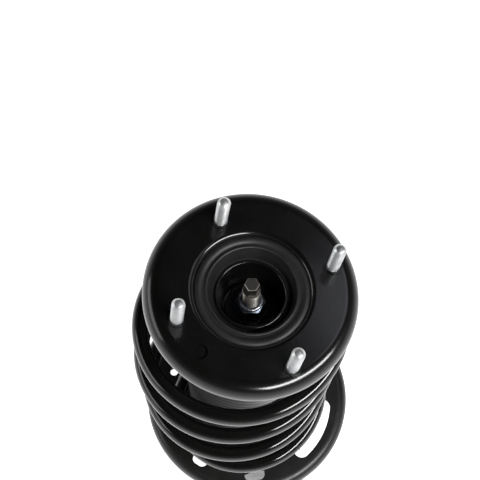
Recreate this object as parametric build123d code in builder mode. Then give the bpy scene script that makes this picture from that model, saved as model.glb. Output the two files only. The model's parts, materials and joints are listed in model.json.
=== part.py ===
from build123d import *

import os
from math import cos, pi, radians, sin

# ----------------------------------------------------------------------------------------
# Complete front suspension strut: top mount, spring, dust boot and twin-tube damper.
# Millimetres. +Z runs up along the piston rod. The origin is the centre of the circle of
# mounting studs, on the plate's upper face. +X points outboard, towards the wheel.
# ----------------------------------------------------------------------------------------

# Top mount: its plate leans from the rod axis, as the body of the car does
PLATE_LEAN_OUT = 3.5
PLATE_LEAN_BACK = 2.0
SHEET = 3.0
PLATE_WALL_R = 81.6
PLATE_SHOULDER_R = 10.5
PLATE_DEPTH = 13.0
COLLAR_R = 43.2
COLLAR_BEND_R = 3.0
COLLAR_DEPTH = 14.0
BUSH_OFFSET = (-2.54, 1.98)

STUD_D = 10.0
STUD_PCD = 125.0
STUD_ANGLES = (20.2, 114.1, 200.2, 294.1)
STUD_HEIGHT = 34.0
STUD_COLLAR_R = 7.1
STUD_SHANK_R = 5.6
STUD_HEAD_R = 7.0
STUD_HEAD_H = 3.0
STUD_POINT = 2.0
STUD_RELIEF_R = 4.4
STUD_RELIEF_H = 1.2
COIN_H = 0.9
LOCATOR_D = 11.5
LOCATOR_ANGLE = 228.0
LOCATOR_DEPTH = 2.0
LOCATOR_BOSS_WALL = 0.6

# Rod axis, where it passes the stud plane
ROD_X = -3.3
ROD_Y = 1.4

# Rod and what it carries, heights on the rod axis
ROD_R = 10.0
THREAD_R = 7.0
THREAD_POINT = 0.4
HEX_TIP_AF = 10.0
HEX_TIP_TOP = 11.3
THREAD_TOP = -0.7
NUT_TOP = -19.5
NUT_AF = 20.0
NUT_BASE = -33.0
NUT_FLANGE_R = 12.8
WASHER_R = 19.3
WASHER_T = 2.5
CUP_FLOOR_R = 21.6
CUP_RIM_R = 27.5
CUP_RIM_Z = -9.2
CUP_T = 1.6
CUP_BEAD_R = 1.1
CUP_BASE = NUT_BASE - WASHER_T - CUP_T
SPACER_R = 12.5
ROD_SHOULDER_Z = -50.0

# Lower shell of the mount and the swivel bearing under it
SHELL_R = 51.0
SHELL_T = 2.5
SHELL_BASE = -45.0
SHELL_HOLE_R = 24.0
SHELL_BEND_R = 4.0
SHELL_OVERRUN = 4.0
BEARING_IN_R = 27.0
BEARING_OUT_R = 43.0
BALL_R = 2.5
BALL_COUNT = 28
BALL_Z = -50.0
RACE_EDGE = 4.5

# Upper spring seat
SEAT_T = 2.5
TOP_SEAT_R = 77.5
TOP_SEAT_Z = -17.5
TOP_SEAT_FLOOR = BALL_Z - RACE_EDGE
TOP_SEAT_HOLE_R = 25.0
TOP_SEAT_FLOOR_R = 52.0
TOP_SEAT_LEDGE_R = 56.0
TOP_SEAT_EDGE = 4.5
TOP_PAD_T = 4.0
TOP_PAD_OUT_R = 73.5
TOP_PAD_IN_R = 62.0

# Coil spring: wire, and the turns at which it starts and ends
WIRE_D = 13.0
SPRING_TOP_TURN = -0.74
SPRING_BOTTOM_TURN = 3.72

# Bump stop and boot
STOP_TOP = -61.0
STOP_LENGTH = 56.0
STOP_R = 22.0
BOOT_TOP = -58.0
BOOT_FOLDS = 22
BOOT_PITCH = 8.3
BOOT_TOP_R = 54.0
BOOT_BOTTOM_R = 49.0
BOOT_FOLD_DEPTH = 7.0
BOOT_WALL = 1.4

# Damper
TUBE_R = 26.0
TUBE_WALL = 2.5
TUBE_TOP = -254.0
TUBE_BOTTOM = -576.0
CAP_TOP = -252.0
INNER_R = 16.0
INNER_WALL = 1.5
GUIDE_TOP = -264.0
GUIDE_BOTTOM = -290.0
PISTON_TOP = -318.0
PISTON_BOTTOM = -342.0
BASE_VALVE_TOP = -548.0
RUNNING_GAP = 0.05

# Lower spring seat, off centre towards the wheel
LOW_SEAT_X = 3.2
LOW_SEAT_Y = 10.2
LOW_SEAT_R = 96.7
LOW_SEAT_Z = -297.0
LOW_SEAT_SHEET = 3.2
LOW_PAD_T = 4.0

# Knuckle bracket
EAR_GAP = 40.0
EAR_T = 4.5
EAR_REACH = 78.0
EAR_TOP = -484.0
EAR_BOTTOM = -586.0
BOLT_R = 7.1
BOLT_X = 56.0
BOLT_UPPER_Z = -510.0
BOLT_LOWER_Z = -562.0

# How far a cut runs past the sheet it goes through
CUT_MARGIN = 10.0

os.makedirs("parts", exist_ok=True)


def leaned(vector):
    """Turn a vector of the mount plate's own frame into the row frame."""
    return vector.rotate(Axis.Y, PLATE_LEAN_OUT).rotate(Axis.X, PLATE_LEAN_BACK)


MOUNT_X = leaned(Vector(1, 0, 0))
MOUNT_Y = leaned(Vector(0, 1, 0))
MOUNT_UP = leaned(Vector(0, 0, 1))
BUSH_CENTRE = MOUNT_X * BUSH_OFFSET[0] + MOUNT_Y * BUSH_OFFSET[1]

mount_plane = Plane(origin=(0, 0, 0), x_dir=MOUNT_X, z_dir=MOUNT_UP)
bush_plane = Plane(origin=BUSH_CENTRE, x_dir=MOUNT_X, z_dir=MOUNT_UP)
bush_section = Plane(origin=BUSH_CENTRE, x_dir=MOUNT_X, z_dir=MOUNT_Y * -1)
bush_axis = Axis(BUSH_CENTRE, MOUNT_UP)

rod_section = Plane(origin=(ROD_X, ROD_Y, 0), x_dir=(1, 0, 0), z_dir=(0, -1, 0))
rod_axis = Axis((ROD_X, ROD_Y, 0), (0, 0, 1))
low_seat_section = Plane(origin=(LOW_SEAT_X, LOW_SEAT_Y, 0), x_dir=(1, 0, 0), z_dir=(0, -1, 0))
low_seat_axis = Axis((LOW_SEAT_X, LOW_SEAT_Y, 0), (0, 0, 1))


def rod_plane(height):
    """Horizontal plane at a height, centred on the rod axis."""
    return Plane(origin=(ROD_X, ROD_Y, height), x_dir=(1, 0, 0), z_dir=(0, 0, 1))


def save(builder, name):
    """Label a finished piece and write its STEP file."""
    builder.part.label = name
    export_step(builder.part, f"parts/{name}.step")


def turned(*outline):
    """Solid turned about the rod axis from a closed (radius, height) outline."""
    with BuildPart() as piece:
        with BuildSketch(rod_section):
            with BuildLine():
                Polyline(*outline, close=True)
            make_face()
        revolve(axis=rod_axis)
    return piece


def turned_sheet(section, axis, thickness, corner_radii, *path):
    """Pressed sheet of even thickness, turned from the middle line of its wall."""
    with BuildPart() as piece:
        with BuildSketch(section):
            with BuildLine():
                FilletPolyline(*path, radius=corner_radii)
            trace(line_width=thickness)
        revolve(axis=axis)
    return piece


def ring(outer_r, inner_r, bottom, top):
    """Plain ring about the rod axis."""
    return turned((inner_r, bottom), (outer_r, bottom), (outer_r, top), (inner_r, top))


# ------------------------------------------------------------------ top mount, fixed to the body

stud_points = [
    (STUD_PCD / 2 * cos(radians(angle)), STUD_PCD / 2 * sin(radians(angle))) for angle in STUD_ANGLES
]
locator_point = (
    STUD_PCD / 2 * cos(radians(LOCATOR_ANGLE)),
    STUD_PCD / 2 * sin(radians(LOCATOR_ANGLE)),
)

with BuildPart() as mount_plate:
    with BuildSketch(bush_section):
        with BuildLine():
            FilletPolyline(
                (COLLAR_R + SHEET / 2, -COLLAR_DEPTH),
                (COLLAR_R + SHEET / 2, -SHEET / 2),
                (PLATE_WALL_R - SHEET / 2, -SHEET / 2),
                (PLATE_WALL_R - SHEET / 2, -PLATE_DEPTH),
                radius=[COLLAR_BEND_R, PLATE_SHOULDER_R],
            )
        trace(line_width=SHEET)
    revolve(axis=bush_axis)
    # coined ring round each stud, then the stud holes
    with BuildSketch(mount_plane.offset(-SHEET / 2)):
        with Locations(*stud_points):
            Circle(STUD_COLLAR_R)
    extrude(amount=SHEET / 2 + COIN_H)
    with BuildSketch(mount_plane.offset(CUT_MARGIN)):
        with Locations(*stud_points):
            Circle(STUD_SHANK_R)
    extrude(amount=-2 * CUT_MARGIN, mode=Mode.SUBTRACT)
    # half-pierced locating dimple: recess above, boss below
    with BuildSketch(mount_plane.offset(-SHEET - LOCATOR_DEPTH)):
        with Locations(locator_point):
            Circle(LOCATOR_D / 2 + LOCATOR_BOSS_WALL)
    extrude(amount=LOCATOR_DEPTH + SHEET / 2)
    with BuildSketch(mount_plane):
        with Locations(locator_point):
            Circle(LOCATOR_D / 2)
    extrude(amount=-LOCATOR_DEPTH, mode=Mode.SUBTRACT)
save(mount_plate, "mount_plate")

# studs pressed in from below: flat head, shank in the plate, relief, threaded stem, point
with BuildPart() as mount_studs:
    with BuildSketch(mount_plane.offset(-SHEET - STUD_HEAD_H)):
        with Locations(*stud_points):
            Circle(STUD_HEAD_R)
    extrude(amount=STUD_HEAD_H)
    with BuildSketch(mount_plane.offset(-SHEET)):
        with Locations(*stud_points):
            Circle(STUD_SHANK_R)
    extrude(amount=SHEET)
    with BuildSketch(mount_plane):
        with Locations(*stud_points):
            Circle(STUD_RELIEF_R)
    extrude(amount=STUD_RELIEF_H)
    with BuildSketch(mount_plane.offset(STUD_RELIEF_H)):
        with Locations(*stud_points):
            Circle(STUD_D / 2)
    extrude(amount=STUD_HEIGHT - STUD_RELIEF_H)
    tips = mount_studs.faces().filter_by(lambda face: face.normal_at().dot(MOUNT_UP) > 0.99)
    tip_height = max(MOUNT_UP.dot(Vector(*face.center())) for face in tips)
    tip_edges = [
        edge
        for edge in mount_studs.edges().filter_by(GeomType.CIRCLE)
        if MOUNT_UP.dot(edge.arc_center) > tip_height - 0.1
    ]
    chamfer(tip_edges, length=STUD_POINT)
save(mount_studs, "mount_studs")

# lower shell: upright cup square to the rod, cut to the slant of the plate above it
with BuildPart() as mount_shell:
    with BuildSketch(rod_section):
        with BuildLine():
            FilletPolyline(
                (SHELL_HOLE_R, SHELL_BASE + SHELL_T / 2),
                (SHELL_R - SHELL_T / 2, SHELL_BASE + SHELL_T / 2),
                (SHELL_R - SHELL_T / 2, SHELL_OVERRUN),
                radius=SHELL_BEND_R,
            )
        trace(line_width=SHELL_T)
    revolve(axis=rod_axis)
    split(bisect_by=mount_plane.offset(-SHEET), keep=Keep.BOTTOM)
save(mount_shell, "mount_shell")

# pressed cup for the rod nut, its rim rolled to a bead
with BuildPart() as inner_cup:
    with BuildSketch(rod_section):
        with BuildLine():
            FilletPolyline(
                (THREAD_R + CUP_T, CUP_BASE + CUP_T / 2),
                (CUP_FLOOR_R, CUP_BASE + CUP_T / 2),
                (CUP_RIM_R - CUP_BEAD_R, CUP_RIM_Z),
                radius=CUP_T,
            )
        trace(line_width=CUP_T)
        with Locations((CUP_RIM_R - CUP_BEAD_R, CUP_RIM_Z)):
            Circle(CUP_BEAD_R)
    revolve(axis=rod_axis)
save(inner_cup, "inner_cup")

# rubber bonded between plate collar, shell and cup; its upper face follows the plate
RUBBER_BASE = SHELL_BASE + SHELL_T
RUBBER_TOP_Z = -2.6
# place across and down of each moulded bead on the upper face, then its own radius
RUBBER_BEADS = ((34.6, -2.6, 1.3), (40.4, -5.4, 4.2))
with BuildPart() as rubber_bush:
    with BuildSketch(bush_section):
        with BuildLine():
            Polyline(
                (22.0, -30.0),
                (22.0, -13.5),
                (29.3, -12.5),
                (33.6, -3.2),
                (34.6, RUBBER_TOP_Z),
                (COLLAR_R, RUBBER_TOP_Z),
                (COLLAR_R, -30.0),
                close=True,
            )
        make_face()
        for bead_x, bead_z, bead_r in RUBBER_BEADS:
            with Locations((bead_x, bead_z)):
                Circle(bead_r)
    revolve(axis=bush_axis)
    with BuildSketch(rod_section):
        with BuildLine():
            Polyline(
                (SPACER_R + 0.5, RUBBER_BASE),
                (SHELL_R - SHELL_T - 3.0, RUBBER_BASE),
                (SHELL_R - SHELL_T, RUBBER_BASE + 3.0),
                (SHELL_R - SHELL_T, -16.0),
                (40.0, -16.0),
                (22.0, -24.0),
                (SPACER_R + 0.5, CUP_BASE),
                close=True,
            )
        make_face()
    revolve(axis=rod_axis)
    with BuildSketch(rod_section):
        with BuildLine():
            Polyline(
                (0, CUP_BASE + CUP_T / 2),
                (CUP_FLOOR_R, CUP_BASE + CUP_T / 2),
                (CUP_RIM_R - CUP_T / 2, CUP_RIM_Z),
                (CUP_RIM_R - CUP_T / 2, 2.0),
                (0, 2.0),
                close=True,
            )
        make_face()
    revolve(axis=rod_axis, mode=Mode.SUBTRACT)
    add(mount_plate.part, mode=Mode.SUBTRACT)
    add(mount_shell.part, mode=Mode.SUBTRACT)
    add(inner_cup.part, mode=Mode.SUBTRACT)
save(rubber_bush, "rubber_bush")

rod_washer = ring(WASHER_R, THREAD_R + 0.1, NUT_BASE - WASHER_T, NUT_BASE)
save(rod_washer, "rod_washer")

# flange lock nut: dished flange, hexagon, round collar holding a lock ring
NUT_COLLAR_R = 9.1
NUT_COLLAR_H = 2.2
NUT_FLANGE_EDGE = 1.2
NUT_FLANGE_RISE = 4.0
NUT_CORNER_DROP = 5.0
LOCK_RING_R = 8.1
with BuildPart() as rod_nut:
    with BuildSketch(rod_section):
        with BuildLine():
            Polyline(
                (THREAD_R, NUT_BASE),
                (NUT_FLANGE_R, NUT_BASE),
                (NUT_FLANGE_R, NUT_BASE + NUT_FLANGE_EDGE),
                (NUT_AF / 2, NUT_BASE + NUT_FLANGE_RISE),
                (THREAD_R, NUT_BASE + NUT_FLANGE_RISE),
                close=True,
            )
        make_face()
    revolve(axis=rod_axis)
    with BuildSketch(rod_plane(NUT_BASE + NUT_FLANGE_EDGE)):
        RegularPolygon(NUT_AF / 2, 6, major_radius=False)
    extrude(amount=NUT_TOP - NUT_BASE - NUT_FLANGE_EDGE - NUT_COLLAR_H)
    with BuildSketch(rod_section):
        with BuildLine():
            Polyline(
                (NUT_COLLAR_R + 0.6, NUT_TOP - NUT_COLLAR_H),
                (NUT_AF, NUT_TOP - NUT_COLLAR_H),
                (NUT_AF, NUT_TOP - NUT_COLLAR_H - NUT_CORNER_DROP),
                close=True,
            )
        make_face()
    revolve(axis=rod_axis, mode=Mode.SUBTRACT)
    with BuildSketch(rod_plane(NUT_TOP - NUT_COLLAR_H)):
        Circle(NUT_COLLAR_R)
    extrude(amount=NUT_COLLAR_H)
    fillet(rod_nut.edges().group_by(Axis.Z)[-1], radius=0.4)
    with BuildSketch(rod_plane(NUT_TOP)):
        Circle(LOCK_RING_R)
    extrude(amount=-NUT_COLLAR_H, mode=Mode.SUBTRACT)
    with BuildSketch(rod_plane(NUT_TOP)):
        Circle(THREAD_R)
    extrude(amount=NUT_BASE - NUT_TOP, mode=Mode.SUBTRACT)
save(rod_nut, "rod_nut")

nut_lock_ring = ring(LOCK_RING_R, THREAD_R, NUT_TOP - NUT_COLLAR_H, NUT_TOP - 0.5)
save(nut_lock_ring, "nut_lock_ring")

rod_spacer = ring(SPACER_R, THREAD_R + 0.05, ROD_SHOULDER_Z, CUP_BASE)
save(rod_spacer, "rod_spacer")

# piston rod: hexagon tip, thread, shoulder, ground stem and a stepped end for the piston
PISTON_SPIGOT_R = 6.0
ROD_END = PISTON_BOTTOM - 14.0
with BuildPart() as piston_rod:
    with BuildSketch(rod_section):
        with BuildLine():
            Polyline(
                (0, ROD_END),
                (PISTON_SPIGOT_R - 1, ROD_END),
                (PISTON_SPIGOT_R, ROD_END + 1),
                (PISTON_SPIGOT_R, PISTON_TOP + 2),
                (ROD_R, PISTON_TOP + 2),
                (ROD_R, ROD_SHOULDER_Z),
                (THREAD_R, ROD_SHOULDER_Z),
                (THREAD_R, THREAD_TOP - THREAD_POINT),
                (THREAD_R - THREAD_POINT, THREAD_TOP),
                (0, THREAD_TOP),
                close=True,
            )
        make_face()
    revolve(axis=rod_axis)
    with BuildSketch(rod_plane(THREAD_TOP)):
        RegularPolygon(HEX_TIP_AF / 2, 6, major_radius=False)
    extrude(amount=HEX_TIP_TOP - THREAD_TOP)
    chamfer(piston_rod.edges().group_by(Axis.Z)[-1], length=0.5)
save(piston_rod, "piston_rod")

BUMP_CUP_T = 2.0
bump_stop_cup = turned(
    (ROD_R, STOP_TOP + BUMP_CUP_T),
    (ROD_R, STOP_TOP),
    (STOP_R + 0.2, STOP_TOP),
    (STOP_R + 0.2, STOP_TOP - 6),
    (STOP_R + 0.2 + BUMP_CUP_T, STOP_TOP - 6),
    (STOP_R + 0.2 + BUMP_CUP_T, STOP_TOP + BUMP_CUP_T),
)
save(bump_stop_cup, "bump_stop_cup")

bump_stop = turned(
    (ROD_R + 0.4, STOP_TOP),
    (STOP_R, STOP_TOP),
    (STOP_R, STOP_TOP - 12),
    (STOP_R - 4, STOP_TOP - 16),
    (STOP_R, STOP_TOP - 20),
    (STOP_R - 0.6, STOP_TOP - 28),
    (STOP_R - 5, STOP_TOP - 32),
    (STOP_R - 1.4, STOP_TOP - 36),
    (STOP_R - 2.5, STOP_TOP - 44),
    (STOP_R - 7, STOP_TOP - STOP_LENGTH),
    (ROD_R + 0.4, STOP_TOP - STOP_LENGTH),
)
save(bump_stop, "bump_stop")

# ------------------------------------------------------------------ swivel bearing

BEARING_R = (BEARING_IN_R + BEARING_OUT_R) / 2
RACE_GAP = 0.9


def bearing_race(bottom, top):
    """Flat race with the ball groove cut into the face nearest the balls."""
    with BuildPart() as race:
        with BuildSketch(rod_section):
            with BuildLine():
                Polyline(
                    (BEARING_IN_R, bottom),
                    (BEARING_OUT_R, bottom),
                    (BEARING_OUT_R, top),
                    (BEARING_IN_R, top),
                    close=True,
                )
            make_face()
            with Locations((BEARING_R, BALL_Z)):
                Circle(BALL_R + RUNNING_GAP, mode=Mode.SUBTRACT)
        revolve(axis=rod_axis)
    return race


bearing_upper_race = bearing_race(BALL_Z + RACE_GAP, SHELL_BASE)
save(bearing_upper_race, "bearing_upper_race")
bearing_lower_race = bearing_race(TOP_SEAT_FLOOR, BALL_Z - RACE_GAP)
save(bearing_lower_race, "bearing_lower_race")

with BuildPart() as bearing_balls:
    with Locations(rod_plane(BALL_Z)):
        with PolarLocations(BEARING_R, BALL_COUNT):
            Sphere(BALL_R)
save(bearing_balls, "bearing_balls")

CAGE_HALF_HEIGHT = 0.5
CAGE_MARGIN = 1.2
CAGE_POCKET_GAP = 0.1
with BuildPart() as bearing_cage:
    with BuildSketch(rod_plane(BALL_Z - CAGE_HALF_HEIGHT)):
        Circle(BEARING_R + BALL_R + CAGE_MARGIN)
        Circle(BEARING_R - BALL_R - CAGE_MARGIN, mode=Mode.SUBTRACT)
        with PolarLocations(BEARING_R, BALL_COUNT):
            Circle(BALL_R + CAGE_POCKET_GAP, mode=Mode.SUBTRACT)
    extrude(amount=2 * CAGE_HALF_HEIGHT)
save(bearing_cage, "bearing_cage")

# ------------------------------------------------------------------ upper spring seat and spring

upper_spring_seat = turned_sheet(
    rod_section,
    rod_axis,
    SEAT_T,
    [5.0, 5.0, 2.5],
    (TOP_SEAT_HOLE_R, TOP_SEAT_FLOOR - SEAT_T / 2),
    (TOP_SEAT_FLOOR_R, TOP_SEAT_FLOOR - SEAT_T / 2),
    (TOP_SEAT_LEDGE_R, TOP_SEAT_Z - SEAT_T / 2),
    (TOP_SEAT_R - SEAT_T / 2, TOP_SEAT_Z - SEAT_T / 2),
    (TOP_SEAT_R - SEAT_T / 2, TOP_SEAT_Z - TOP_SEAT_EDGE),
)
save(upper_spring_seat, "upper_spring_seat")

TOP_PAD_TOP = TOP_SEAT_Z - SEAT_T
upper_pad = ring(TOP_PAD_OUT_R, TOP_PAD_IN_R, TOP_PAD_TOP - TOP_PAD_T, TOP_PAD_TOP)
save(upper_pad, "upper_pad")

# The wire starts flat under the upper pad, falls evenly and lies flat again on the lower
# pad. The coils narrow downwards, each end turns in to a smaller radius, and the spring's
# centre line bows inboard, as a side-load spring's does. Turns are counted from the nearest
# strand of the top coil.
# Each offset is the place of a coil's middle, seen from the rod axis.
PAD_CLEARANCE = 0.2
SPRING_TOP_Z = TOP_PAD_TOP - TOP_PAD_T - WIRE_D / 2 - PAD_CLEARANCE
SPRING_BOTTOM_Z = LOW_SEAT_Z + LOW_PAD_T + WIRE_D / 2 + PAD_CLEARANCE
TOP_LEAD_IN = 0.61
BOTTOM_LEAD_IN = 0.65
COIL_TOP_R = 79.4
COIL_SWELL = 3.2
COIL_NARROWING = 10.4
TOP_PIGTAIL = 14.1
TOP_PIGTAIL_TURNS = 0.75
TOP_PIGTAIL_CURVE = 1.2
LOW_PIGTAIL = 15.5
LOW_PIGTAIL_START = 2.78
LOW_PIGTAIL_TURNS = 0.58
TOP_OFFSET = Vector(-1.6, -3.2, 0)
BOTTOM_OFFSET = Vector(1.9, -5.1, 0)
SPRING_BOW = Vector(9.8, -6.1, 0)
POINTS_PER_TURN = 14
SUBSTEPS = 8


def eased(value):
    """Smooth ramp from 0 to 1."""
    value = min(max(value, 0), 1)
    return value * value * (3 - 2 * value)


def spring_points():
    """Points along the middle of the wire, from the top end to the bottom end."""
    turns_made = SPRING_BOTTOM_TURN - SPRING_TOP_TURN
    steps = int(turns_made * POINTS_PER_TURN) * SUBSTEPS
    turns = [SPRING_TOP_TURN + turns_made * step / steps for step in range(steps + 1)]
    falls = [0.0]
    for start, end in zip(turns, turns[1:]):
        middle = (start + end) / 2
        slope = eased((middle - SPRING_TOP_TURN) / TOP_LEAD_IN)
        slope *= eased((SPRING_BOTTOM_TURN - middle) / BOTTOM_LEAD_IN)
        falls.append(falls[-1] + slope)
    points = []
    for turn, fall in list(zip(turns, falls))[::SUBSTEPS]:
        share = fall / falls[-1]
        coil_r = COIL_TOP_R + COIL_SWELL * share - COIL_NARROWING * share**2
        from_top = (turn - SPRING_TOP_TURN) / TOP_PIGTAIL_TURNS
        coil_r -= TOP_PIGTAIL * max(0, 1 - from_top) ** TOP_PIGTAIL_CURVE
        coil_r -= LOW_PIGTAIL * min(max((turn - LOW_PIGTAIL_START) / LOW_PIGTAIL_TURNS, 0), 1)
        middle = TOP_OFFSET * (1 - share) + BOTTOM_OFFSET * share - SPRING_BOW * (4 * share * (1 - share))
        angle = -pi / 2 - 2 * pi * turn
        height = SPRING_TOP_Z + (SPRING_BOTTOM_Z - SPRING_TOP_Z) * share
        radial = Vector(coil_r * cos(angle), coil_r * sin(angle), height)
        points.append(Vector(ROD_X, ROD_Y, 0) + middle + radial)
    return points


with BuildPart() as coil_spring:
    with BuildLine():
        wire_line = Spline(*spring_points())
    with BuildSketch(Plane(origin=wire_line @ 0, z_dir=wire_line % 0)):
        Circle(WIRE_D / 2)
    sweep(path=wire_line, is_frenet=True)
save(coil_spring, "coil_spring")

# dust boot: flat collar under the seat, folds, cone and cuff on the damper tube
BOOT_COLLAR_T = 2.0
BOOT_COLLAR_IN_R = 38.0
BOOT_COLLAR_OUT_R = 50.0
CUFF_TOP = -268.0
CUFF_BOTTOM = -278.0
CUFF_GAP = 0.2


def boot_side(inset):
    """Side line of the boot from collar to cuff, moved in by the wall's thickness."""
    line = []
    for fold in range(2 * BOOT_FOLDS + 1):
        share = fold / (2 * BOOT_FOLDS)
        crest = BOOT_TOP_R + (BOOT_BOTTOM_R - BOOT_TOP_R) * share
        radius = crest - (BOOT_FOLD_DEPTH if fold % 2 == 0 else 0) - inset
        line.append((radius, BOOT_TOP - BOOT_COLLAR_T - fold * BOOT_PITCH / 2))
    return line


cuff_r = TUBE_R + CUFF_GAP
outside = boot_side(0) + [(cuff_r + BOOT_WALL, CUFF_TOP), (cuff_r + BOOT_WALL, CUFF_BOTTOM)]
inside = boot_side(BOOT_WALL) + [(cuff_r, CUFF_TOP), (cuff_r, CUFF_BOTTOM)]
dust_boot = turned(
    (BOOT_COLLAR_IN_R, BOOT_TOP),
    (BOOT_COLLAR_OUT_R, BOOT_TOP),
    *outside,
    *reversed(inside),
    (BOOT_COLLAR_IN_R, BOOT_TOP - BOOT_COLLAR_T),
)
save(dust_boot, "dust_boot")

# ------------------------------------------------------------------ damper, on the rod

REBOUND_STOP_R = 15.0
REBOUND_STOP_H = 9.0
REBOUND_TOP = GUIDE_BOTTOM - 0.5
rebound_stop = ring(REBOUND_STOP_R, ROD_R, REBOUND_TOP - REBOUND_STOP_H, REBOUND_TOP)
save(rebound_stop, "rebound_stop")

BAND_DEPTH = 1.2
BAND_MARGIN = 5.0
PISTON_BODY_R = INNER_R - 0.5
piston = turned(
    (PISTON_SPIGOT_R, PISTON_BOTTOM),
    (PISTON_BODY_R, PISTON_BOTTOM),
    (PISTON_BODY_R, PISTON_BOTTOM + BAND_MARGIN),
    (INNER_R - BAND_DEPTH, PISTON_BOTTOM + BAND_MARGIN),
    (INNER_R - BAND_DEPTH, PISTON_TOP - BAND_MARGIN),
    (PISTON_BODY_R, PISTON_TOP - BAND_MARGIN),
    (PISTON_BODY_R, PISTON_TOP),
    (PISTON_SPIGOT_R, PISTON_TOP),
)
save(piston, "piston")

piston_band = ring(
    INNER_R - RUNNING_GAP, INNER_R - BAND_DEPTH, PISTON_BOTTOM + BAND_MARGIN, PISTON_TOP - BAND_MARGIN
)
save(piston_band, "piston_band")

VALVE_STACK_T = 2.0
VALVE_DISC_R = 11.0
PISTON_NUT_AF = 17.0
PISTON_NUT_H = 9.0
valve_discs = ring(VALVE_DISC_R, PISTON_SPIGOT_R, PISTON_BOTTOM - VALVE_STACK_T, PISTON_BOTTOM)
save(valve_discs, "valve_discs")

with BuildPart() as piston_nut:
    with BuildSketch(rod_plane(PISTON_BOTTOM - VALVE_STACK_T)):
        RegularPolygon(PISTON_NUT_AF / 2, 6, major_radius=False)
        Circle(PISTON_SPIGOT_R, mode=Mode.SUBTRACT)
    extrude(amount=-PISTON_NUT_H)
save(piston_nut, "piston_nut")

# ------------------------------------------------------------------ damper tube and its inside

TUBE_BORE_R = TUBE_R - TUBE_WALL
strut_tube = ring(TUBE_R, TUBE_BORE_R, TUBE_BOTTOM, TUBE_TOP)
save(strut_tube, "strut_tube")

CAP_SKIRT = 10.0
tube_cap = turned(
    (ROD_R + 2.5, CAP_TOP),
    (TUBE_R + 0.8, CAP_TOP),
    (TUBE_R + 2.3, CAP_TOP - 1.5),
    (TUBE_R + 2.3, CAP_TOP - CAP_SKIRT),
    (TUBE_R, CAP_TOP - CAP_SKIRT),
    (TUBE_R, TUBE_TOP),
    (ROD_R + 2.5, TUBE_TOP),
)
save(tube_cap, "tube_cap")

SEAL_TOP = TUBE_TOP - 1.0
rod_seal = turned(
    (ROD_R + RUNNING_GAP, GUIDE_TOP + 3.0),
    (ROD_R + 3.0, GUIDE_TOP),
    (TUBE_BORE_R, GUIDE_TOP),
    (TUBE_BORE_R, SEAL_TOP),
    (ROD_R + 4.0, SEAL_TOP),
    (ROD_R + RUNNING_GAP, SEAL_TOP - 2.5),
)
save(rod_seal, "rod_seal")

GUIDE_BUSH_R = ROD_R + 1.3
GUIDE_STEP = GUIDE_BOTTOM + 7.0
rod_guide = turned(
    (GUIDE_BUSH_R, GUIDE_BOTTOM),
    (INNER_R, GUIDE_BOTTOM),
    (INNER_R, GUIDE_STEP),
    (TUBE_BORE_R, GUIDE_STEP),
    (TUBE_BORE_R, GUIDE_TOP),
    (ROD_R + 3.0, GUIDE_TOP),
    (GUIDE_BUSH_R, GUIDE_TOP - 1.7),
)
save(rod_guide, "rod_guide")

guide_bush = ring(GUIDE_BUSH_R, ROD_R + RUNNING_GAP, GUIDE_BOTTOM + 2.0, GUIDE_TOP - 4.0)
save(guide_bush, "guide_bush")

pressure_tube = ring(INNER_R + INNER_WALL, INNER_R, BASE_VALVE_TOP, GUIDE_STEP)
save(pressure_tube, "pressure_tube")

# foot valve: plug in the pressure tube, flange under it and legs on the end cap
END_CAP_TOP = -562.0
END_CAP_T = 3.5
LEG_R = 3.0
LEG_CIRCLE_R = 14.0
FLANGE_T = 5.0
PLUG_H = 6.0
CENTRE_PORT_R = 2.5
PORT_R = 1.8
PORT_CIRCLE_R = 9.0
PORT_COUNT = 6
with BuildPart() as base_valve:
    with BuildSketch(rod_plane(BASE_VALVE_TOP - FLANGE_T)):
        Circle(INNER_R + INNER_WALL)
    extrude(amount=FLANGE_T)
    with BuildSketch(rod_plane(BASE_VALVE_TOP)):
        Circle(INNER_R)
    extrude(amount=PLUG_H)
    with BuildSketch(rod_plane(BASE_VALVE_TOP + PLUG_H)):
        Circle(CENTRE_PORT_R)
        with PolarLocations(PORT_CIRCLE_R, PORT_COUNT):
            Circle(PORT_R)
    extrude(amount=-PLUG_H - FLANGE_T, mode=Mode.SUBTRACT)
    with BuildSketch(rod_plane(END_CAP_TOP)):
        with PolarLocations(LEG_CIRCLE_R, 4):
            Circle(LEG_R)
    extrude(amount=BASE_VALVE_TOP - FLANGE_T - END_CAP_TOP)
save(base_valve, "base_valve")

CAP_RIM_T = 4.0
CAP_RIM_Z = TUBE_BOTTOM + 2.0
end_cap = turned(
    (0, END_CAP_TOP - END_CAP_T),
    (TUBE_BORE_R - CAP_RIM_T, END_CAP_TOP - END_CAP_T),
    (TUBE_BORE_R - CAP_RIM_T, CAP_RIM_Z),
    (TUBE_BORE_R, CAP_RIM_Z),
    (TUBE_BORE_R, END_CAP_TOP),
    (0, END_CAP_TOP),
)
save(end_cap, "end_cap")

# ------------------------------------------------------------------ lower spring seat

SLOT_X = 3.5
SLOT_Y = 2.4
SLOT_OUT_R = 76.5
SLOT_IN_R = 62.0
SLOT_FROM = -47.5
SLOT_TO = -7.0
SEAT_WALL_R = LOW_SEAT_R - LOW_SEAT_SHEET / 2
SEAT_BEND_R = 7.0
SEAT_INNER_R = 12.0
SEAT_SKIRT_Z = -309.0
BOSS_R = 40.0
BOSS_FOOT = 5.0
BOSS_RISE = 6.0
BOSS_BEND_R = 3.0
NECK_T = 3.2
NECK_TOP = LOW_SEAT_Z + 18.0
NECK_BOTTOM = LOW_SEAT_Z - 4.0
DRAIN_R = 71.6
DRAIN_ANGLE = 154.3
DRAIN_D = 7.3
WINDOW_CORNER_R = 5.5
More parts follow.
